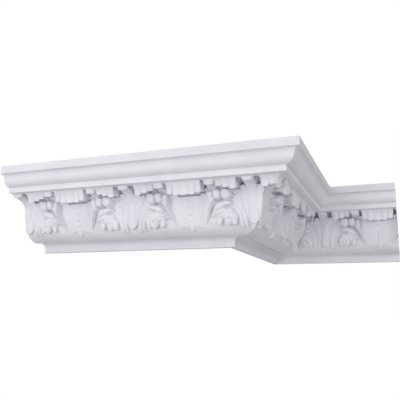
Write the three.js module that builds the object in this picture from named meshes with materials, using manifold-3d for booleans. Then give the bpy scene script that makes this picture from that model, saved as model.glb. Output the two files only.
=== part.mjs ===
// Cornice moulding with an acanthus leaf band, in three mitred lengths round a projecting wall break.
// Each length is one solid casting in gypsum plaster, with its leaves, beads and fascias cast in one.
// Millimetres, +Z up. The long front faces -Y, and the wall and ceiling lie behind and above.

import * as THREE from "three";
import { mergeVertices } from "three/addons/utils/BufferGeometryUtils.js";
import Module from "manifold-3d";

// Driving dimensions. A run is measured along the bottom fascia's face, a projection out from it.
const height = 170;
const projection = 170;
const bottomDepth = 13.5;
const wallBedHeight = 70;
const ceilingBedDepth = 100;
const frontRun = 476;
const returnRun = 407;
const rearRun = 318.5;
const leafRepeat = 264;
const mitreGap = 0.3;

// Plain members from the underside up: a face is a projection, a level is a height above the underside
const lowerFasciaLevel = 12.5;
const lowerCoveFace = 21;
const lowerCoveLevel = 21.5;
const lowerFilletFace = 22;
const lowerFilletFoot = 21;
const lowerFilletLevel = 32;
const bellyFace = 73;
const bellyLevel = 85;
const soffitStart = 127.5;
const soffitLevel = 117;
const upperFilletFace = 140;
const upperFilletLevel = 128.5;
const ovoloFace = 158;
const ovoloLevel = 146;
const topCoveFace = 159.5;
const topCoveFoot = 148;
const topFasciaFoot = 153.5;
const arcSteps = 4;

// Lengths along the band's ground, which is the convex belly and the cove above it
const bellyLength = 85;
const coveLength = 66;
const bandLength = bellyLength + coveLength;

// How far the leaves stand off the ground at the belly's top, how far a beaded leaf's blade does all
// the way up, and how much more it does at its foot
const fullSwell = 8;
const beadedLeafRise = 8;
const footRise = 7;

// Where the centre line of one beaded leaf falls on each run, measured from its corner
const halfRepeat = leafRepeat / 2;
const cornerToBackLeaf = 62.5;
const frontLeafCentre = cornerToBackLeaf - halfRepeat;
const returnLeafCentre = halfRepeat - cornerToBackLeaf;
const rearLeafCentre = 10;

// Fineness of the carved grid
const columnsPerRepeat = 40;
const rowsOnLeaves = 13;
const rowsOnTips = 3;

const quarterTurn = Math.PI / 2;

const plaster = new THREE.MeshStandardMaterial({ color: 0xe9e8ee, roughness: 0.6, metalness: 0 });

const wasm = await Module();
wasm.setup();

const mix = (from, to, share) => from + (to - from) * share;
const clamp = (value) => Math.min(1, Math.max(0, value));
const smooth = (value) => clamp(value) ** 2 * (3 - 2 * clamp(value));

// The cross-section with its flat wall bed, flat ceiling bed and splayed back, without leaves
function sectionShape() {
  const shape = new THREE.Shape();
  shape.moveTo(-bottomDepth, 0);
  shape.lineTo(0, 0);
  shape.lineTo(0, lowerFasciaLevel);
  shape.absellipse(lowerCoveFace, lowerFasciaLevel,
    lowerCoveFace, lowerCoveLevel - lowerFasciaLevel, Math.PI, quarterTurn, true);
  shape.lineTo(lowerFilletFace, lowerFilletFoot);
  shape.lineTo(lowerFilletFace, lowerFilletLevel);
  shape.absellipse(
    lowerFilletFace, bellyLevel, bellyFace - lowerFilletFace, bellyLevel - lowerFilletLevel, -quarterTurn, 0);
  shape.absellipse(
    soffitStart, bellyLevel, soffitStart - bellyFace, soffitLevel - bellyLevel, Math.PI, quarterTurn, true);
  shape.lineTo(upperFilletFace, soffitLevel);
  shape.lineTo(upperFilletFace, upperFilletLevel);
  shape.absellipse(
    upperFilletFace, ovoloLevel, ovoloFace - upperFilletFace, ovoloLevel - upperFilletLevel, -quarterTurn, 0);
  shape.lineTo(topCoveFace, topCoveFoot);
  shape.absellipse(projection - 1, topCoveFoot, projection - 1 - topCoveFace,
    topFasciaFoot - topCoveFoot, Math.PI, quarterTurn, true);
  shape.lineTo(projection, topFasciaFoot);
  shape.lineTo(projection, height);
  shape.lineTo(projection - ceilingBedDepth, height);
  shape.lineTo(-bottomDepth, wallBedHeight);
  return shape;
}

// A place on the band's ground, a length up from the belly's foot, raised along the carving's direction
function bandPoint(up, raised) {
  if (up < bellyLength) {
    const turn = (up / bellyLength) * quarterTurn;
    return {
      out: lowerFilletFace + (bellyFace - lowerFilletFace + raised) * Math.sin(turn),
      level: bellyLevel - (bellyLevel - lowerFilletLevel + raised) * Math.cos(turn),
    };
  }
  const share = (up - bellyLength) / coveLength;
  const turn = share * quarterTurn;
  const tilt = share * 0.72 * quarterTurn;
  return {
    out: soffitStart - (soffitStart - bellyFace) * Math.cos(turn) + raised * Math.cos(tilt),
    level: bellyLevel + (soffitLevel - bellyLevel) * Math.sin(turn) - raised * Math.sin(tilt),
  };
}

// The row of curled tips that hang from the soffit, from a beaded leaf's centre line out to the back
// leaf's. Each is cut into rounded lobes at the given sides, and its lower edge may slant between two
// levels. Its face is the projection just over that edge, and the faces lean out to meet the soffit.
const tips = [
  { cuts: [-10, 10, 24, 37], levelFrom: 90.5, levelTo: 93, face: 118 },
  { cuts: [43, 64.5], levelFrom: 103.5, levelTo: 103.5, face: 124 },
  { cuts: [65, 79, 93, 108.5], levelFrom: 102, levelTo: 94, face: 118.5 },
  { cuts: [121, 143], levelFrom: 108, levelTo: 108, face: 127 },
];
const tipsTopFace = 128;
const lipSize = 3;
const cutDepth = 3;
const gapEdge = 138;
const tipAt = (side) => tips.find((tip) => side >= tip.cuts[0] && side <= tip.cuts.at(-1));

// The lower edge's level and the face of a tip, which both draw back at the cuts between its lobes
function tipShape(tip, side) {
  const share = (side - tip.cuts[0]) / (tip.cuts.at(-1) - tip.cuts[0]);
  const next = Math.max(1, tip.cuts.findIndex((cut) => cut >= side));
  const width = tip.cuts[next] - tip.cuts[next - 1];
  const bulge = Math.sqrt(clamp(1 - ((2 * side - tip.cuts[next] - tip.cuts[next - 1]) / width) ** 2));
  return {
    level: mix(tip.levelFrom, tip.levelTo, share) + cutDepth * (1 - bulge),
    face: tip.face - cutDepth * (1 - bulge),
  };
}

// Where the leaves end: behind the tip's lower edge, or high in the gaps between the tips
function leafTop(side) {
  const tip = tipAt(side);
  if (!tip) {
    return gapEdge;
  }
  const turn = Math.asin((tipShape(tip, side).level + lipSize - bellyLevel) / (soffitLevel - bellyLevel));
  return bellyLength + coveLength * turn / quarterTurn;
}

// Steps up a tip: the underside of its lip, the lip's front, the face, and the top inside the soffit
function tipPoint(tip, side, step) {
  const { level, face } = tipShape(tip, side);
  const front = level + lipSize;
  return [
    { out: face - lipSize, level },
    { out: face, level: front },
    { out: mix(face, tipsTopFace, 0.4), level: mix(front, soffitLevel, 0.6) },
    { out: tipsTopFace, level: soffitLevel + 1 },
  ][step];
}

// The wavy lower edge of the leaves: the bead drop, the beaded leaf's foot, a hollow, the curled
// lobes and the back leaf's rounded point
function leafFoot(side) {
  return 15
    + 21 * smooth((side - 4) / 5)
    + 8 * smooth((side - 28) / 6)
    - 3 * smooth((side - 50) / 6)
    - 8 * smooth((side - 96) / 10);
}

// How far the leaves as a whole swell off the ground
function swell(up) {
  if (up < bellyLength) {
    return fullSwell * Math.sin((up / bellyLength) * quarterTurn) ** 1.2;
  }
  return fullSwell * clamp(1 - (up - bellyLength) / coveLength) ** 0.6;
}

// Rounded lobes of the side leaf, like pebbles: centre, half sizes, tilt, height at the rim and crown
const sideLeafLobes = [
  { at: [60, 58], long: 33, wide: 25, tilt: 0.7, rim: 5, crown: 8 },
  { at: [62, 98], long: 13, wide: 8, tilt: 1.45, rim: 12, crown: 7 },
  { at: [80, 98], long: 13, wide: 10, tilt: 1.65, rim: 12, crown: 7 },
  { at: [48, 97], long: 12, wide: 7, tilt: 2, rim: 12, crown: 6 },
  { at: [94, 106], long: 7, wide: 6, tilt: 0.4, rim: 9, crown: 4 },
  { at: [76, 79], long: 15, wide: 7, tilt: 0.4, rim: 10, crown: 4 },
  { at: [74, 66], long: 16, wide: 6, tilt: 0, rim: 9, crown: 4 },
  { at: [80, 45], long: 13, wide: 13, tilt: 0.3, rim: 10, crown: 5 },
  { at: [62, 45], long: 10, wide: 7, tilt: 1.4, rim: 10, crown: 4 },
  { at: [96, 46], long: 12, wide: 6, tilt: 1.2, rim: 9, crown: 4 },
  { at: [106, 42], long: 11, wide: 5, tilt: 1.2, rim: 8, crown: 3 },
];
const beadDrop = { at: [0, 26], long: 11, wide: 7, tilt: quarterTurn, rim: 12, crown: 4 };

function lobeHeight(lobe, side, up) {
  const sideways = side - lobe.at[0];
  const upward = up - lobe.at[1];
  const along = (sideways * Math.cos(lobe.tilt) + upward * Math.sin(lobe.tilt)) / lobe.long;
  const across = (upward * Math.cos(lobe.tilt) - sideways * Math.sin(lobe.tilt)) / lobe.wide;
  const inside = 1 - along ** 2 - across ** 2;
  return inside > 0 ? lobe.rim + lobe.crown * Math.sqrt(inside) : 0;
}

// The raised rib of a side leaf leans away from the beaded leaf as it climbs
const ribSide = (up) => 25 + 25 * smooth((up - 45) / 55);

// Half the width of the back leaf's blade, which fans out upward
function bladeHalf(up) {
  return 14 * clamp((up - 34) / 14) + 4 * clamp((up - 48) / 10) + 14 * smooth((up - 56) / 40);
}

// The leaves hang nearly upright over the foot of the belly, so they stand further off the ground there
const footSwell = (up) => 12 * (1 - smooth((up - 34) / 36));

// The carving is set out as it looks from the front. Where the leaves stand off the ground, less of
// the ground's length lies behind them.
const drawnUp = (up) => up - 6 * (1 - smooth((up - 38) / 36));

// Height of the leaves over the ground, between their foot and the tips: side is the distance from
// the nearest beaded leaf's centre line, up is the length from the belly's foot
function leafHeight(side, up) {
  const whole = swell(up);
  const upright = footSwell(up);
  const drawn = drawnUp(up);
  const backSide = halfRepeat - side;
  const fromRib = Math.abs(side - ribSide(up));
  const blade = beadedLeafRise + footRise * (1 - smooth((up - 30) / 34));
  const beadedLeaf = side < ribSide(up) - 3 ? blade : 0;
  const bead = side < 3 ? blade + 3 : 0;
  const backBlade = Math.max(whole, 7) + upright + 2 * smooth(1.5 - backSide / 8);
  const backLeaf = backSide < bladeHalf(drawn) ? backBlade : 0;
  const rib = up > 36 && up < 108 ? (whole + 9) * smooth(1.4 - fromRib / 5) : 0;
  const between = side > 38 && up > 109 ? 0 : whole - 5 + upright;
  const sideLeaf = sideLeafLobes.map((lobe) => (1 + 0.025 * upright) * lobeHeight(lobe, side, drawn));
  return Math.max(1, between, beadedLeaf, bead, backLeaf, rib, lobeHeight(beadDrop, side, up), ...sideLeaf);
}

function toSolid(geometry) {
  geometry.deleteAttribute("normal");
  geometry.deleteAttribute("uv");
  const merged = mergeVertices(geometry, 1e-3);
  const vertProperties = new Float32Array(merged.attributes.position.array);
  const triVerts = new Uint32Array(merged.index.array);
  return new wasm.Manifold(new wasm.Mesh({ numProp: 3, vertProperties, triVerts }));
}

function toGeometry(solid) {
  const mesh = solid.getMesh();
  const geometry = new THREE.BufferGeometry();
  geometry.setAttribute("position", new THREE.BufferAttribute(mesh.vertProperties, 3));
  geometry.setIndex(new THREE.BufferAttribute(mesh.triVerts, 1));
  geometry.computeVertexNormals();
  return geometry;
}

// The plain moulding along X from start to end, with projection toward -Y
function plainBody(start, end) {
  const geometry = new THREE.ExtrudeGeometry(sectionShape(), {
    depth: end - start, bevelEnabled: false, curveSegments: arcSteps,
  });
  geometry.applyMatrix4(new THREE.Matrix4().makeBasis(
    new THREE.Vector3(0, -1, 0), new THREE.Vector3(0, 0, 1), new THREE.Vector3(-1, 0, 0)));
  geometry.translate(end, 0, 0);
  return toSolid(geometry);
}

// The carved band: a block whose front is a grid on the band and whose back is buried in the moulding
function leafBand(start, end, leafCentre) {
  const buried = 12;
  const sunk = 3;
  const columnWidth = leafRepeat / columnsPerRepeat;
  const first = Math.floor((start - leafCentre) / columnWidth);
  const last = Math.ceil((end - leafCentre) / columnWidth);
  const rows = rowsOnLeaves + rowsOnTips + 3;
  const block = new THREE.BoxGeometry(last - first, 1, rows, last - first, 1, rows);
  const position = block.attributes.position;
  for (let i = 0; i < position.count; i += 1) {
    const column = Math.round(position.getX(i) + (last - first) / 2) + first;
    const row = Math.round(position.getZ(i) + rows / 2);
    const along = column * columnWidth;
    const side = Math.abs(along - leafRepeat * Math.round(along / leafRepeat));
    const foot = leafFoot(side);
    const top = leafTop(side);
    const step = row - rowsOnLeaves - 2;
    let up = foot - 2;
    let raised = -sunk;
    if (row > 0 && step < 0) {
      up = mix(foot, top - 2, (row - 1) / rowsOnLeaves);
      raised = leafHeight(side, up);
    } else if (row > 0) {
      up = mix(top, bandLength, step / (rowsOnTips + 1));
      raised = step > rowsOnTips ? -sunk : 1;
    }
    const tip = tipAt(side);
    const onFront = position.getY(i) < 0;
    const onTip = tip && onFront && step >= 0 && step <= rowsOnTips;
    const point = onTip ? tipPoint(tip, side, step) : bandPoint(up, onFront ? raised : -buried);
    position.setXYZ(i, leafCentre + along, -point.out, point.level);
  }
  return toSolid(block);
}

// A flat-sided block over a plan outline, which trims a length to its square end and its mitres
function planBlock(outline) {
  const corners = outline.map(([x, y]) => new THREE.Vector2(x, y));
  const depth = height + 2;
  const geometry = new THREE.ExtrudeGeometry(new THREE.Shape(corners), { depth, bevelEnabled: false });
  geometry.translate(0, 0, -1);
  return toSolid(geometry);
}

// One length along X between two cuts. A cut's lean is the sideways shift for each millimetre of
// projection: 0 is square, 1 is an outside mitre and -1 an inside mitre, seen from the middle.
function cornerLength(name, from, to, leafCentre) {
  const front = projection + 1;
  const back = -bottomDepth - 1;
  const start = from.at - Math.max(0, from.lean) * front;
  const end = to.at + Math.max(0, to.lean) * front;
  const reach = 20;
  const solid = plainBody(start - reach, end + reach)
    .add(leafBand(start - reach / 2, end + reach / 2, leafCentre))
    .intersect(planBlock([
      [from.at - from.lean * front, -front],
      [to.at + to.lean * front, -front],
      [to.at + to.lean * back, -back],
      [from.at - from.lean * back, -back],
    ]));
  const mesh = new THREE.Mesh(toGeometry(solid), plaster);
  mesh.name = name;
  return mesh;
}

// A mitre's half gap, measured along the run
const mitreSetback = mitreGap / 2 * Math.SQRT2;

const front = cornerLength("front_length",
  { at: -frontRun, lean: 0 }, { at: -mitreSetback, lean: 1 }, frontLeafCentre);

const side = cornerLength("return_length",
  { at: mitreSetback, lean: 1 }, { at: returnRun - mitreSetback, lean: -1 }, returnLeafCentre);
side.rotation.z = quarterTurn;

const rear = cornerLength("rear_length",
  { at: mitreSetback, lean: -1 }, { at: rearRun, lean: 0 }, rearLeafCentre);
rear.position.y = returnRun;

// The origin lies under the middle of the whole cornice, on the level of its underside
const cornice = new THREE.Group();
cornice.add(front, side, rear);
cornice.position.x = (frontRun - rearRun) / 2;
cornice.position.y = (projection - returnRun - bottomDepth) / 2;

const part = new THREE.Group();
part.add(cornice);
export default part;
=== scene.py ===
import math

import bmesh
import bpy
import numpy as np
from mathutils import Matrix, Vector


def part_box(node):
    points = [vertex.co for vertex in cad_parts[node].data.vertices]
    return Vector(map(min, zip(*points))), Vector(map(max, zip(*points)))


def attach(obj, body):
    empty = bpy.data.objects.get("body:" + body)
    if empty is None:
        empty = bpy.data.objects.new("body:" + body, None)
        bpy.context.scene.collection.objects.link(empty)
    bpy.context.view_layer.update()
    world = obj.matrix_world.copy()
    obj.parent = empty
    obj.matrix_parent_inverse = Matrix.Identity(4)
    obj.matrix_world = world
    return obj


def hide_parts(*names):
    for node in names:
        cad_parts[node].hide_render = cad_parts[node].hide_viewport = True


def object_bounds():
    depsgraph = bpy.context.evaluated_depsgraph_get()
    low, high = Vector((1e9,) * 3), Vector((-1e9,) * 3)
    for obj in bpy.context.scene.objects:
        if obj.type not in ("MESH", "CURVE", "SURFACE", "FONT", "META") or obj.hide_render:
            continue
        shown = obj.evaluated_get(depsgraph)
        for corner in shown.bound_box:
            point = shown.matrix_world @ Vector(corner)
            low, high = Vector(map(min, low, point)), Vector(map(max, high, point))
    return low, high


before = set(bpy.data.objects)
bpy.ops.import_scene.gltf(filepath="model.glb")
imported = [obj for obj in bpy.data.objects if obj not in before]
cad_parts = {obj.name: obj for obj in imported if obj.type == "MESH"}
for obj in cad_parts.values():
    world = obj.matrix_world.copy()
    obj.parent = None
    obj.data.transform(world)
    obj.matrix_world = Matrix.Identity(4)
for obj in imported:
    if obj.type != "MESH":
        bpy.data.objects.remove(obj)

cad_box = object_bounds()

# Front length of the cornice
# One casting in gypsum plaster, with the mouldings and the acanthus band from one mould. It is cut
# square at the left and mitred at the outside corner, and glued and screwed to the wall and ceiling.

# Section of the plain mouldings, in millimetres
# A face is how far a moulding stands out from the bottom fascia, and a level is its height over the
# underside.
mm = 0.001
bottom_depth = 13.5
projection = (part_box("return_length")[1].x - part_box("return_length")[0].x) / mm - bottom_depth
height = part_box("front_length")[1].z / mm
wall_bed_height = 70
ceiling_bed_depth = 100
lower_fascia_level = 12.5
lower_cove_face = 21
lower_cove_level = 21.5
lower_fillet_face = 22
lower_fillet_foot = 21
lower_fillet_level = 32
belly_face = 73
belly_level = 85
soffit_start = 127.5
soffit_level = 117
upper_fillet_face = 140
upper_fillet_level = 128.5
ovolo_face = 158
ovolo_level = 146
top_cove_face = 159.5
top_cove_foot = 148
top_cove_depth = 9.5
top_fascia_foot = 153.5
arris_radius = 0.7
arris_steps = 3
arc_steps = 10


def arc(centre, half_sizes, start, end):
    turns = np.radians(np.linspace(start, end, arc_steps + 1))
    (face, level), (wide, high) = centre, half_sizes
    return [(face + wide * math.cos(turn), level + high * math.sin(turn)) for turn in turns]


# An arris as it comes from the mould, rounded between its two faces
def arris(before, corner, after):
    before, corner, after = Vector(before), Vector(corner), Vector(after)
    start = corner + (before - corner).normalized() * arris_radius
    end = corner + (after - corner).normalized() * arris_radius
    shares = [step / arris_steps for step in range(arris_steps + 1)]
    return [tuple(start.lerp(corner, share).lerp(corner.lerp(end, share), share)) for share in shares]


# The plain mouldings from the soffit out over the top, down the back and up to the belly's foot
def plain_section():
    soffit = (soffit_start, soffit_level)
    upper_fillet = [(upper_fillet_face, soffit_level), (upper_fillet_face, upper_fillet_level)]
    ovolo = arc((upper_fillet_face, ovolo_level),
                (ovolo_face - upper_fillet_face, ovolo_level - upper_fillet_level), -90, 0)
    top_cove = arc((top_cove_face + top_cove_depth, top_cove_foot),
                   (top_cove_depth, top_fascia_foot - top_cove_foot), 180, 90)
    top_fascia = [(projection, top_fascia_foot), (projection, height)]
    back = [(projection - ceiling_bed_depth, height), (-bottom_depth, wall_bed_height), (-bottom_depth, 0)]
    lower_fascia = [(0, 0), (0, lower_fascia_level)]
    lower_cove = arc((lower_cove_face, lower_fascia_level),
                     (lower_cove_face, lower_cove_level - lower_fascia_level), 180, 90)
    lower_fillet = [(lower_fillet_face, lower_fillet_foot), (lower_fillet_face, lower_fillet_level)]
    return [
        soffit,
        *arris(soffit, *upper_fillet),
        *ovolo,
        *top_cove[:-1],
        *arris(top_cove[-1], *top_fascia),
        *arris(top_fascia[0], top_fascia[1], back[0]),
        *arris(top_fascia[1], back[0], back[1]),
        *arris(*back),
        *arris(back[1], back[2], lower_fascia[0]),
        *arris(back[2], *lower_fascia),
        *lower_cove,
        *arris(lower_cove[-1], *lower_fillet),
        lower_fillet[1],
    ]


# Ground of the leaf band
# It goes up a convex belly and then out under the soffit in a cove. A place on it is given by its side,
# measured along the wall from a beaded leaf's centre line, and by how far it is up the ground's surface.
# The carving stands up square to the belly, and in the cove it stands out and a little down.
belly_length = 85
cove_length = 66
band_length = belly_length + cove_length
cove_lean = 0.3
quarter_turn = math.radians(90)


def band_point(up, raised):
    on_belly = up < belly_length
    turn = quarter_turn * np.where(on_belly, up / belly_length, (up - belly_length) / cove_length)
    lean = cove_lean * turn
    face = np.where(
        on_belly,
        lower_fillet_face + (belly_face - lower_fillet_face + raised) * np.sin(turn),
        soffit_start - (soffit_start - belly_face) * np.cos(turn) + raised * np.cos(lean))
    level = np.where(
        on_belly,
        belly_level - (belly_level - lower_fillet_level + raised) * np.cos(turn),
        belly_level + (soffit_level - belly_level) * np.sin(turn) - raised * np.sin(lean))
    return face, level


# Pattern of the leaves along the run
# Beaded leaves and back leaves take turns, with a side leaf between them. It is the same to the left and
# the right of each, so half a repeat, from a beaded leaf's centre line to a back leaf's, is drawn.
leaf_repeat = 264
half_repeat = leaf_repeat / 2
columns_per_half = 110
column_width = half_repeat / columns_per_half


def mix(start, end, share):
    return start + (end - start) * share


def smooth(value):
    value = np.clip(value, 0, 1)
    return value * value * (3 - 2 * value)


# A share that goes smoothly from 0 at the start to 1 over the length
def ease(value, start, length):
    return smooth((value - start) / length)


# How far the leaves as a whole swell off the ground
full_swell = 8
belly_swell_power = 1.2
cove_swell_power = 0.6


def swell(up):
    on_belly = full_swell * np.sin(quarter_turn * np.clip(up / belly_length, 0, 1)) ** belly_swell_power
    in_cove = full_swell * np.clip(1 - (up - belly_length) / cove_length, 0, 1) ** cove_swell_power
    return np.where(up < belly_length, on_belly, in_cove)


# The leaves hang nearly upright over the foot of the belly, so they stand further off the ground there
foot_stand = 12
foot_stand_start = 34
foot_stand_length = 36


def foot_swell(up):
    return foot_stand * (1 - ease(up, foot_stand_start, foot_stand_length))


# The leaves are drawn as they look from the front. Where they stand off the ground, less of its
# length lies behind them.
hidden_ground = 6
hidden_ground_start = 38
hidden_ground_length = 36


def drawn_up(up):
    return up - hidden_ground * (1 - ease(up, hidden_ground_start, hidden_ground_length))


# A share that goes from 0 just outside an edge to 1 just inside it, by the distance inside
edge_softness = 1.2


def inside(distance):
    return smooth(distance / edge_softness + 0.5)


# A share that is 1 on a line and falls off to its sides
def on_line(distance, width):
    return np.exp(-(distance / width) ** 2)


def dome(side, up, centre, radius):
    away = np.hypot(side - centre[0], up - centre[1])
    return np.sqrt(np.clip(radius ** 2 - away ** 2, 0, None))


# Distance from a curve that bends from root to tip, and the share of the way along it
curve_points = 17


def beside_curve(side, up, root, bend, tip):
    shares = np.linspace(0, 1, curve_points)[:, None]
    root, bend, tip = np.array([root, bend, tip], float)
    path = mix(mix(root, bend, shares), mix(bend, tip, shares), shares)
    step = path[1:] - path[:-1]
    offset = np.stack([side, up], -1)[..., None, :] - path[:-1]
    share = np.clip((offset * step).sum(-1) / (step ** 2).sum(-1), 0, 1)
    gap = np.linalg.norm(offset - share[..., None] * step, axis=-1)
    nearest = gap.argmin(-1)[..., None]
    along = (nearest + np.take_along_axis(share, nearest, -1)) / len(step)
    return np.take_along_axis(gap, nearest, -1)[..., 0], along[..., 0]


def blend(sizes, share):
    root, middle, tip = sizes
    return root * (1 - share) ** 2 + 2 * middle * share * (1 - share) + tip * share ** 2


# A leaflet like a rounded finger. Its half width and its height are given at the root, middle and tip,
# and its rim is the share of the height that its edge has.
def leaflet(side, up, root, bend, tip, width, rise, rim):
    away, along = beside_curve(side, up, root, bend, tip)
    half = blend(width, along)
    edge = smooth((half + edge_softness - away) / edge_softness)
    crown = np.sqrt(np.clip(1 - (away / half) ** 2, 0, 1))
    return blend(rise, along) * (rim * edge + (1 - rim) * crown)


# A groove that runs out towards both ends
groove_runout = 1 / 6


def groove(side, up, root, bend, tip, width, depth):
    away, along = beside_curve(side, up, root, bend, tip)
    return depth * on_line(away, width) * smooth(along / groove_runout) * smooth((1 - along) / groove_runout)


# Backing of the side leaf, lower than the leaves around it, which reaches further down behind the
# outer lobes
backing_drop = 5
backing_foot = 41
backing_foot_edge = 2
outer_lobes_side = 96
outer_lobes_length = 10
outer_lobes_drop = 9
backing_top = 104
backing_top_edge = 4
backing_side = 36


def backing(side, up):
    foot = backing_foot - outer_lobes_drop * ease(side, outer_lobes_side, outer_lobes_length)
    raised = (swell(up) - backing_drop + foot_swell(up)) * ease(up, foot, backing_foot_edge)
    return raised * (1 - ease(up, backing_top, backing_top_edge) * ease(side, backing_side, backing_top_edge))


# Beaded leaf, which widens upward, has a scalloped foot and swells between its middle and its edge
blade_rise = 8
blade_foot_rise = 7
blade_foot_start = 30
blade_foot_length = 34
blade_bulge = 1.4
blade_foot = 37
beaded_blade_ups = (30, 44, 62, 84, 100, 112)
beaded_blade_halves = (26, 29, 34, 40, 46, 50)
scallop_width = 26
scallop_depth = 2
channel_side = 5.6
channel_width = 0.9
channel_depth = 1.4
channel_end = 2


def blade_height(up):
    return blade_rise + blade_foot_rise * (1 - ease(up, blade_foot_start, blade_foot_length))


def above_scallops(side, up):
    return up - blade_foot + scallop_depth * np.cos(2 * math.pi * side / scallop_width)


def beaded_blade(side, up):
    half = np.interp(up, beaded_blade_ups, beaded_blade_halves)
    bulge = blade_bulge * np.sin(math.pi * np.clip(side / scallop_width, 0, 1))
    return (blade_height(up) + bulge) * inside(np.minimum(half - side, above_scallops(side, up)))


# The channel beside the beads
def channel(side, up):
    on_blade = above_scallops(side, up) > channel_end
    return channel_depth * on_line(side - channel_side, channel_width) * on_blade


# Beads up the middle of the beaded leaf, with a large one under them and a drop that hangs below the leaf
bead_spacing = 11
lowest_bead = 52
highest_bead = 85
bead_radius = 3.2
bead_sink = 0.6
large_bead = 43
large_bead_radius = 4.8
large_bead_sink = 1
drop_middle = 36
drop_half_width = 6.5
drop_half_length = 8
drop_rise = 20


def beads(side, up):
    ground = blade_height(up)
    small = [ground - bead_sink + dome(side, up, (0, place), bead_radius)
             for place in np.arange(lowest_bead, highest_bead + 1, bead_spacing)]
    large = ground - large_bead_sink + dome(side, up, (0, large_bead), large_bead_radius)
    drop = dome(side / drop_half_width, (up - drop_middle) / drop_half_length, (0, 0), 1)
    return np.maximum.reduce([*small, large, drop_rise * np.sqrt(drop)])


# Back leaf, a point at the foot that fans out upward. It has a flute up the middle with a line beside
# it, a raised rim, and fine lines that spread from a far centre like a fan.
back_blade_rise = 7
back_blade_foot = 35
back_blade_ups = (36, 40, 46, 55, 74, 96, 120)
back_blade_halves = (1, 7, 13, 16, 21, 32, 36)
flute_half = 9
flute_rise = 2.4
flute_line_side = 9.5
flute_line_width = 1.2
flute_line_depth = 2.6
flute_line_end = 2
rim_rise = 1.6
rim_inset = 2.2
rim_half = 2
fan_rise = 1.1
fan_spacing_degrees = 1.1
fan_centre_side = 4
fan_centre_up = 190
fan_start = 96
fan_start_length = 8
fan_side = 5
fan_side_length = 4
fan_end = 1


def back_blade(side, up):
    drawn = drawn_up(up)
    from_middle = half_repeat - side
    half = np.interp(drawn, back_blade_ups, back_blade_halves)
    edge = np.minimum(half - from_middle, drawn - back_blade_foot)
    flute = flute_rise * np.sqrt(np.clip(1 - (from_middle / flute_half) ** 2, 0, 1))
    rim = rim_rise * smooth(1 - np.abs(edge - rim_inset) / rim_half)
    raised = (np.maximum(swell(up), back_blade_rise) + foot_swell(up) + flute + rim) * inside(edge)
    beside_flute = flute_line_depth * on_line(from_middle - flute_line_side, flute_line_width)
    bearing = np.degrees(np.arctan2(from_middle - fan_centre_side, fan_centre_up - up))
    fan = fan_rise * np.cos(2 * math.pi * bearing / fan_spacing_degrees)
    fan = fan * ease(up, fan_start, fan_start_length) * ease(from_middle, fan_side, fan_side_length)
    return raised - beside_flute * (edge > flute_line_end) + fan * (edge > fan_end)


# Side leaf between them, with its leaflets set out in millimetres of side and up
side_leaf = [
    # The full body between the rib and the volute
    dict(root=(46, 60), bend=(62, 70), tip=(77, 64), width=(10, 16, 15), rise=(12, 17.5, 16.5), rim=0.75),
    # The pointed leaflet on the outer side, over the dark slit
    dict(root=(60, 74), bend=(76, 76), tip=(88, 78), width=(8, 6.5, 2.5), rise=(18, 21, 19), rim=0.75),
    # The volute at the foot and the small lobes beside it
    dict(root=(78, 50), bend=(83, 49), tip=(88, 50), width=(11.5, 12.5, 11.5), rise=(16, 17, 16), rim=0.85),
    dict(root=(76, 46), bend=(79, 42), tip=(80, 41), width=(4, 5, 5), rise=(17, 19, 19), rim=0.8),
    dict(root=(89, 48), bend=(93, 44), tip=(93, 41), width=(4, 5, 4.5), rise=(15, 18, 18), rim=0.8),
    dict(root=(60, 50), bend=(62, 47), tip=(62, 42), width=(4, 6, 5), rise=(13, 15, 18), rim=0.7),
    # The two narrow outer lobes that hang beside the back leaf
    dict(root=(101, 60), bend=(107, 46), tip=(106, 31), width=(2.5, 4.2, 4.4), rise=(9, 13, 13.5), rim=0.8),
    dict(root=(110, 60), bend=(116, 46), tip=(116, 31), width=(2.5, 4.2, 4.4), rise=(8, 13, 13.5), rim=0.8),
]
side_leaf_grooves = [
    # The hollow line under the folded top that runs down inside the rib
    dict(root=(94, 80), bend=(52, 95), tip=(38, 46), width=1.8, depth=8),
    # Lines on the body, and the one between the volute and the lobe inside it
    dict(root=(38, 46), bend=(48, 64), tip=(76, 72), width=1.2, depth=2.5),
    dict(root=(38, 44), bend=(50, 56), tip=(72, 61), width=1.2, depth=2.5),
    dict(root=(72, 52), bend=(69, 46), tip=(70, 34), width=1.4, depth=6),
]
slit = dict(root=(74, 71), bend=(84, 71.5), tip=(102, 72.5), width=1.9, depth=15)
stand_gain = 0.025
volute_eye = (82, 50)
volute_eye_radius = 3.5
volute_eye_depth = 3
volute_ring = 5.5
volute_ring_half = 1.7
volute_ring_rise = 2.4


def side_leaf_height(side, up):
    drawn = drawn_up(up)
    raised = np.maximum.reduce([leaflet(side, drawn, **part) for part in side_leaf])
    raised = raised * (1 + stand_gain * foot_swell(up))
    for line in side_leaf_grooves:
        raised = raised - groove(side, drawn, **line)
    raised = raised - groove(side, up, **slit)
    from_eye = np.hypot(side - volute_eye[0], drawn - volute_eye[1])
    raised = raised + volute_ring_rise * smooth(1 - np.abs(from_eye - volute_ring) / volute_ring_half)
    return raised - volute_eye_depth * smooth(1 - from_eye / volute_eye_radius)


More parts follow.
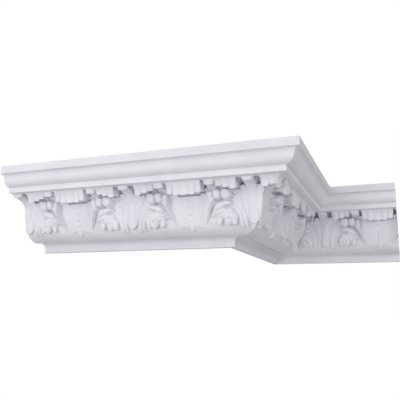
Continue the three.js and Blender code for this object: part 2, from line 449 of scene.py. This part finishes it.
# The top of the side leaf, which folds over forward
folded_top = [
    # The rib that climbs from the beaded leaf's foot and ends in the first lobe
    dict(root=(32, 44), bend=(40, 62), tip=(49, 82), width=(2, 2.8, 4.2), rise=(14, 20, 26), rim=0.15),
    dict(root=(50, 84), bend=(49, 93), tip=(48, 102), width=(6.5, 7.5, 6.5), rise=(26, 28, 22), rim=0.7),
    # The roll and its rounded lobes
    dict(root=(56, 96), bend=(70, 97), tip=(84, 95), width=(8.5, 9.5, 8.5), rise=(25, 26, 25), rim=0.85),
    dict(root=(62, 105), bend=(62, 99), tip=(62, 92.5), width=(8.8, 9.4, 9), rise=(24, 28, 27), rim=0.85),
    dict(root=(80, 104), bend=(80, 98), tip=(80, 92.5), width=(9.6, 10.6, 10), rise=(24, 28, 27), rim=0.85),
    dict(root=(91, 107), bend=(96, 104), tip=(99, 99), width=(3.5, 4.5, 3.5), rise=(12, 15, 14), rim=0.6),
]
fold_grooves = [
    dict(root=(71, 116), bend=(71, 100), tip=(70, 80), width=0.9, depth=7),
    dict(root=(55, 116), bend=(55, 100), tip=(53, 84), width=0.9, depth=7),
]
rib_outline = dict(root=(39, 100), bend=(39, 80), tip=(28, 58), width=1.3, depth=4)


def folded_top_height(side, up):
    raised = np.maximum.reduce([leaflet(side, up, **part) for part in folded_top])
    for line in fold_grooves:
        raised = raised - groove(side, up, **line)
    return raised


# Height of the leaves over the ground, which is hollow under their feet
ground_hollow = 12
hollow_start = 5
hollow_start_length = 12
hollow_end = 37
hollow_end_length = 3


def leaf_height(side, up):
    hollow = ground_hollow * ease(up, hollow_start, hollow_start_length)
    hollow = hollow * (1 - ease(up, hollow_end, hollow_end_length))
    blades = np.maximum.reduce([-hollow, backing(side, up), beaded_blade(side, up), back_blade(side, up)])
    blades = blades - channel(side, up) - groove(side, up, **rib_outline)
    return np.maximum.reduce([
        blades, side_leaf_height(side, up), folded_top_height(side, up), beads(side, up)])


# Curled tips that hang in a row from the soffit
# Each is cut into rounded lobes at the given sides, whose lower edges lie at the given levels. Its face
# is how far it stands out just over those edges, and its underside is hollowed by so much.
tips = [
    dict(cuts=(-37, -24, -10, 10, 24, 37), levels=(94, 90.5, 90.5, 90.5, 94), face=118, hollow=8),
    dict(cuts=(43, 64), levels=(106,), face=124, hollow=7),
    dict(cuts=(65, 79, 93, 108.5), levels=(103.5, 100, 96), face=118.5, hollow=9),
    dict(cuts=(121, 143), levels=(108,), face=127, hollow=1),
]
tips_top_face = 127.5
cut_depth = 4.5
cut_lift = 4
cut_share_at_top = 0.3
underside_rows = 5
underside_shares = np.linspace(0, 1, underside_rows + 2)[1:-1]
underside_bend = 0.8
underside_lift = 1
lip_rows = 6
lip_radius = 2.4
lip_start_degrees = -100
lip_turns = np.radians(np.linspace(lip_start_degrees, 0, lip_rows))
face_rows = 16
face_shares = np.linspace(0, 1, face_rows + 1)[1:]
face_bend = 0.72
face_bulge = 1


def tip_at(side):
    for tip in tips:
        if tip["cuts"][0] <= side <= tip["cuts"][-1]:
            return tip
    return None


def lobe_at(tip, side):
    return next(lobe for lobe, cut in enumerate(tip["cuts"][1:]) if side <= cut)


def curve(start, bend, end, shares):
    start, bend, end = np.array(start), np.array(bend), np.array(end)
    shares = shares[:, None]
    return mix(mix(start, bend, shares), mix(bend, end, shares), shares)


# Rows up a tip at one side: the underside from the hollow to the lip, round the lip, and up the face
def tip_rows(tip, side, hollow):
    lobe = lobe_at(tip, side)
    start, end = tip["cuts"][lobe:lobe + 2]
    to_cut = 1 - math.sqrt(max(0, 1 - ((2 * side - start - end) / (end - start)) ** 2))
    level = tip["levels"][lobe] + cut_lift * to_cut
    face = tip["face"] - cut_depth * to_cut
    lip_centre = np.array([face - lip_radius, level + lip_radius])
    lip = lip_centre + lip_radius * np.stack([np.cos(lip_turns), np.sin(lip_turns)], -1)
    under_bend = (mix(hollow[0], lip[0, 0], underside_bend), level + tip["hollow"] + underside_lift)
    under = curve(hollow, under_bend, lip[0], underside_shares)
    front_bend = (face + face_bulge, mix(level, soffit_level, face_bend))
    top = (tips_top_face - cut_share_at_top * cut_depth * to_cut, soffit_level)
    return np.concatenate([under, lip, curve(lip[-1], front_bend, top, face_shares)])


# Rows up the band
# One column of rows goes up the leaves and then up the tip over them. In a gap between two tips it goes
# up the ground, which is sunk there in a dark pocket. The leaves run out at the belly's foot, and where
# a tip's hollow is deep they also run out inside it.
leaf_rows = 78
leaf_rows_end = 93
hollow_rows = 22
belly_foot_fade = 8
deep_hollow = 2
hollow_fade = 5
gap_edge = 140
pocket_depth = 20
pocket_start = 119
pocket_start_length = 3
pocket_end_length = 4
# Half a millimetre to each side and up and down, over which the carving is evened out
taps = [(-0.5, 0), (0.5, 0), (0, -0.5), (0, 0.5), (0, 0)]


def hollow_up(tip, side):
    if tip is None:
        return gap_edge
    level = tip["levels"][lobe_at(tip, side)] + tip["hollow"]
    turn = math.asin((level - belly_level) / (soffit_level - belly_level))
    return belly_length + cove_length * turn / quarter_turn


def band_rows(column):
    side = column * column_width
    tip = tip_at(side)
    below_tips = np.linspace(0, leaf_rows_end, leaf_rows, endpoint=False)
    up = np.concatenate([below_tips, np.linspace(leaf_rows_end, hollow_up(tip, side), hollow_rows)])
    sides = np.full_like(up, side)
    raised = sum(leaf_height(np.abs(sides + aside), np.clip(up + over, 0, None)) for aside, over in taps)
    raised = raised / len(taps) * smooth(up / belly_foot_fade)
    if tip is None:
        pocket = ease(up, pocket_start, pocket_start_length) * smooth((gap_edge - up) / pocket_end_length)
        above = np.linspace(up[-1], band_length, underside_rows + lip_rows + face_rows + 1)[1:]
        return np.concatenate([
            np.stack(band_point(up, raised - pocket_depth * pocket), -1),
            np.stack(band_point(above, 0.0), -1)])
    if tip["hollow"] > deep_hollow:
        raised = raised * (1 - ease(up, up[-1] - hollow_fade, hollow_fade))
    leaves = np.stack(band_point(up, raised), -1)
    return np.concatenate([leaves, tip_rows(tip, side, leaves[-1])])


# The band ends where the soffit starts, so the plain section goes on from its second point
band = np.array([band_rows(column) for column in range(columns_per_half + 1)])
plain = np.array(plain_section())[1:]

# Paint on the plaster
# Gypsum plaster under matt emulsion, brushed on: near white and slightly cool, with no gloss and a faint
# unevenness of the paint film. Brush grain is some 0.3 mm wide, drawn four times coarser so that it shows.


def linear(hex_colour):
    parts = [int(hex_colour[place:place + 2], 16) / 255 for place in (0, 2, 4)]
    return (*[part / 12.92 if part <= 0.04045 else ((part + 0.055) / 1.055) ** 2.4 for part in parts], 1)


def add_node(tree, kind, links=(), **settings):
    node = tree.nodes.new(kind)
    for name, value in settings.items():
        if name in node.inputs:
            node.inputs[name].default_value = value
        else:
            setattr(node, name, value)
    for source, output, target in links:
        tree.links.new(source.outputs[output], node.inputs[target])
    return node


paint_light = linear("ECEBF1")
paint_deep = linear("E4E3EA")
deep_below = 0.3
light_above = 0.7
cloud_size = 70 * mm
grain_size = 1.2 * mm
grain_depth = 0.1 * mm
smoothest = 0.62
roughest = 0.74
painted_plaster = bpy.data.materials.new("matt_painted_plaster")
painted_plaster.use_nodes = True
tree = painted_plaster.node_tree
tree.nodes.clear()
position = add_node(tree, "ShaderNodeTexCoord")
clouds = add_node(tree, "ShaderNodeTexNoise", [(position, "Object", "Vector")],
                  Scale=1 / cloud_size, Detail=3, Roughness=0.5)
tone = add_node(tree, "ShaderNodeValToRGB", [(clouds, "Fac", "Fac")])
tone.color_ramp.elements[0].position = deep_below
tone.color_ramp.elements[0].color = paint_deep
tone.color_ramp.elements[1].position = light_above
tone.color_ramp.elements[1].color = paint_light
grain = add_node(tree, "ShaderNodeTexNoise", [(position, "Object", "Vector")],
                 Scale=1 / grain_size, Detail=2, Roughness=0.6)
film = add_node(tree, "ShaderNodeBump", [(grain, "Fac", "Height")], Strength=0.15, Distance=grain_depth)
sheen = add_node(tree, "ShaderNodeMapRange", [(clouds, "Fac", "Value")])
sheen.inputs["To Min"].default_value = smoothest
sheen.inputs["To Max"].default_value = roughest
paint = add_node(tree, "ShaderNodeBsdfPrincipled",
                 [(tone, "Color", "Base Color"), (film, "Normal", "Normal"), (sheen, "Result", "Roughness")],
                 IOR=1.45)
add_node(tree, "ShaderNodeOutputMaterial", [(paint, "BSDF", "Surface")])

# Casting between two cuts
# A cut's lean is 0 where it is square, 1 at an outside mitre and -1 at an inside one: the sideways shift
# for each millimetre of projection, seen from the casting's middle.
merge_distance = 0.0005


# How far a casting runs on past the corner of its walls, in front at an outside mitre and behind at an
# inside one
def mitre_reach(lean):
    return max(lean * projection, -lean * bottom_depth)


def cast_length(name, node, start, end, leaf_centre, turn, move):
    first = math.floor((start[0] - mitre_reach(start[1]) - leaf_centre) / column_width) - 1
    last = math.ceil((end[0] + mitre_reach(end[1]) - leaf_centre) / column_width) + 1
    columns = last - first
    rows = band.shape[1] + len(plain) - 1
    casting = bmesh.new()
    bmesh.ops.create_grid(casting, x_segments=columns, y_segments=rows, size=0.5)
    for vertex in casting.verts:
        column = first + round((vertex.co.x + 0.5) * columns)
        row = round((vertex.co.y + 0.5) * rows)
        if row < band.shape[1]:
            # Columns count up from a beaded leaf's centre line to a back leaf's, and down again
            mirrored = abs((column + columns_per_half) % (2 * columns_per_half) - columns_per_half)
            face, level = band[mirrored, row]
        else:
            face, level = plain[row - band.shape[1]]
        vertex.co = (leaf_centre + column * column_width, -face, level)
    bmesh.ops.remove_doubles(casting, verts=casting.verts, dist=merge_distance)
    for (place, lean), outward in ((start, -1), (end, 1)):
        cut = bmesh.ops.bisect_plane(
            casting, geom=casting.verts[:] + casting.edges[:] + casting.faces[:], dist=merge_distance,
            plane_co=(place, 0, 0), plane_no=(outward, lean, 0), clear_outer=True)
        rim = [part for part in cut["geom_cut"] if isinstance(part, bmesh.types.BMEdge)]
        cap = bmesh.ops.contextual_create(casting, geom=rim)["faces"]
        bmesh.ops.triangulate(casting, faces=cap, ngon_method="EAR_CLIP")
        for edge in rim:
            edge.smooth = False
    bmesh.ops.recalc_face_normals(casting, faces=casting.faces)
    placing = Matrix.Scale(mm, 4) @ Matrix.Translation((*move, 0)) @ Matrix.Rotation(turn, 4, "Z")
    bmesh.ops.transform(casting, matrix=placing, verts=casting.verts)
    for face in casting.faces:
        face.smooth = True
    mesh = bpy.data.meshes.new(name)
    casting.to_mesh(mesh)
    casting.free()
    mesh.materials.append(painted_plaster)
    piece = bpy.data.objects.new(name, mesh)
    bpy.context.scene.collection.objects.link(piece)
    flat_faces = piece.modifiers.new("flat_faces", "WEIGHTED_NORMAL")
    flat_faces.keep_sharp = True
    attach(piece, "root")
    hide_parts(node)


# The front length runs from its square end to the outside corner, with a back leaf near the corner
outside_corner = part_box("return_length")[1].x / mm - projection
front_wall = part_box("front_length")[0].y / mm + projection
front_run = outside_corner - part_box("front_length")[0].x / mm
corner_to_back_leaf = 62.5
cast_length(
    "front_casting", "front_length", start=(-front_run, 0), end=(0, 1),
    leaf_centre=corner_to_back_leaf - half_repeat, turn=0, move=(outside_corner, front_wall))

# Return length
# The second casting, which runs back along the side of the wall break. It is from the same mould and
# mitred at both ends, and its leaves mirror the front's at the outside corner.
rear_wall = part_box("rear_length")[0].y / mm + projection
return_run = rear_wall - front_wall
cast_length(
    "return_casting", "return_length", start=(0, 1), end=(return_run, -1),
    leaf_centre=half_repeat - corner_to_back_leaf, turn=quarter_turn, move=(outside_corner, front_wall))

# Rear length
# The third casting, on the set-back wall, from the same mould. It is mitred at the inside corner and
# cut square at the right, where the next length would be butted to it.
rear_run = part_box("rear_length")[1].x / mm - outside_corner
corner_to_beaded_leaf = 10
cast_length(
    "rear_casting", "rear_length", start=(0, -1), end=(rear_run, 0),
    leaf_centre=corner_to_beaded_leaf, turn=0, move=(outside_corner, rear_wall))

# Floor, light and camera
# A pale floor well below the cornice, which fades out before its rim, a white studio round it, and
# large soft lamps in front. The camera looks up at the outside corner from below the underside.
floor_level = -1.2
floor_radius = 5
fade_start = 2
fade_end = floor_radius - 0.2
floor_mesh = bmesh.new()
bmesh.ops.create_circle(floor_mesh, cap_ends=True, segments=96, radius=floor_radius)
floor_data = bpy.data.meshes.new("floor")
floor_mesh.to_mesh(floor_data)
floor_mesh.free()
floor = bpy.data.objects.new("floor", floor_data)
floor.location.z = floor_level
bpy.context.scene.collection.objects.link(floor)

floor_paint = bpy.data.materials.new("pale_floor")
floor_paint.use_nodes = True
tree = floor_paint.node_tree
tree.nodes.clear()
position = add_node(tree, "ShaderNodeTexCoord")
distance = add_node(tree, "ShaderNodeVectorMath", [(position, "Object", 0)], operation="LENGTH")
fade = add_node(tree, "ShaderNodeMapRange", [(distance, "Value", "Value")])
fade.inputs["From Min"].default_value = fade_start
fade.inputs["From Max"].default_value = fade_end
pale = add_node(tree, "ShaderNodeBsdfDiffuse", Color=linear("F2F2F4"))
clear = add_node(tree, "ShaderNodeBsdfTransparent")
surface = add_node(tree, "ShaderNodeMixShader", [(fade, "Result", 0), (pale, "BSDF", 1), (clear, "BSDF", 2)])
add_node(tree, "ShaderNodeOutputMaterial", [(surface, "Shader", "Surface")])
floor_data.materials.append(floor_paint)

# The studio looks white behind the cornice, and lights it less strongly than it looks
white = linear("FFFFFF")
fill_strength = 0.33
backdrop_strength = 1
studio = bpy.data.worlds.new("studio")
bpy.context.scene.world = studio
studio.use_nodes = True
tree = studio.node_tree
tree.nodes.clear()
rays = add_node(tree, "ShaderNodeLightPath")
fill = add_node(tree, "ShaderNodeBackground", Color=white, Strength=fill_strength)
backdrop = add_node(tree, "ShaderNodeBackground", Color=white, Strength=backdrop_strength)
seen = add_node(tree, "ShaderNodeMixShader",
                [(rays, "Is Camera Ray", 0), (fill, "Background", 1), (backdrop, "Background", 2)])
add_node(tree, "ShaderNodeOutputWorld", [(seen, "Shader", "Surface")])
bpy.context.scene.view_settings.view_transform = "Standard"

softbox_size = 1.6
cornice_middle = Vector(cad_box[0]).lerp(cad_box[1], 0.5)


def softbox(name, place, power):
    data = bpy.data.lights.new(name, "AREA")
    data.shape = "DISK"
    data.size = softbox_size
    data.energy = power
    lamp = bpy.data.objects.new(name, data)
    lamp.location = place
    lamp.rotation_euler = (cornice_middle - Vector(place)).to_track_quat("-Z", "Y").to_euler()
    bpy.context.scene.collection.objects.link(lamp)


softbox("high", place=(-1.4, -2.6, 1.6), power=15)
softbox("low", place=(-1.2, -2.8, -0.5), power=12)
softbox("side", place=(2.8, -1.6, 0.5), power=23)
softbox("level", place=(-0.6, -3.2, 0.1), power=21)

# Yaw is to the right of the Y axis, pitch is up, and roll leans the camera to its left
camera_place = Vector((0.40178, -1.17141, -0.13114))
camera_yaw = math.radians(-21.0112)
camera_pitch = math.radians(11.8940)
camera_roll = math.radians(0.7645)
forward = Vector((
    math.sin(camera_yaw) * math.cos(camera_pitch),
    math.cos(camera_yaw) * math.cos(camera_pitch),
    math.sin(camera_pitch)))
level_right = Vector((math.cos(camera_yaw), -math.sin(camera_yaw), 0))
above = level_right.cross(forward)
right = level_right * math.cos(camera_roll) + above * math.sin(camera_roll)
upward = above * math.cos(camera_roll) - level_right * math.sin(camera_roll)
turned = Matrix((right, upward, -forward)).transposed().to_4x4()
camera_data = bpy.data.cameras.new("camera")
camera_data.sensor_width = 36
camera_data.lens = 47.442
camera = bpy.data.objects.new("camera", camera_data)
camera.matrix_world = Matrix.Translation(camera_place) @ turned
bpy.context.scene.collection.objects.link(camera)
bpy.context.scene.camera = camera
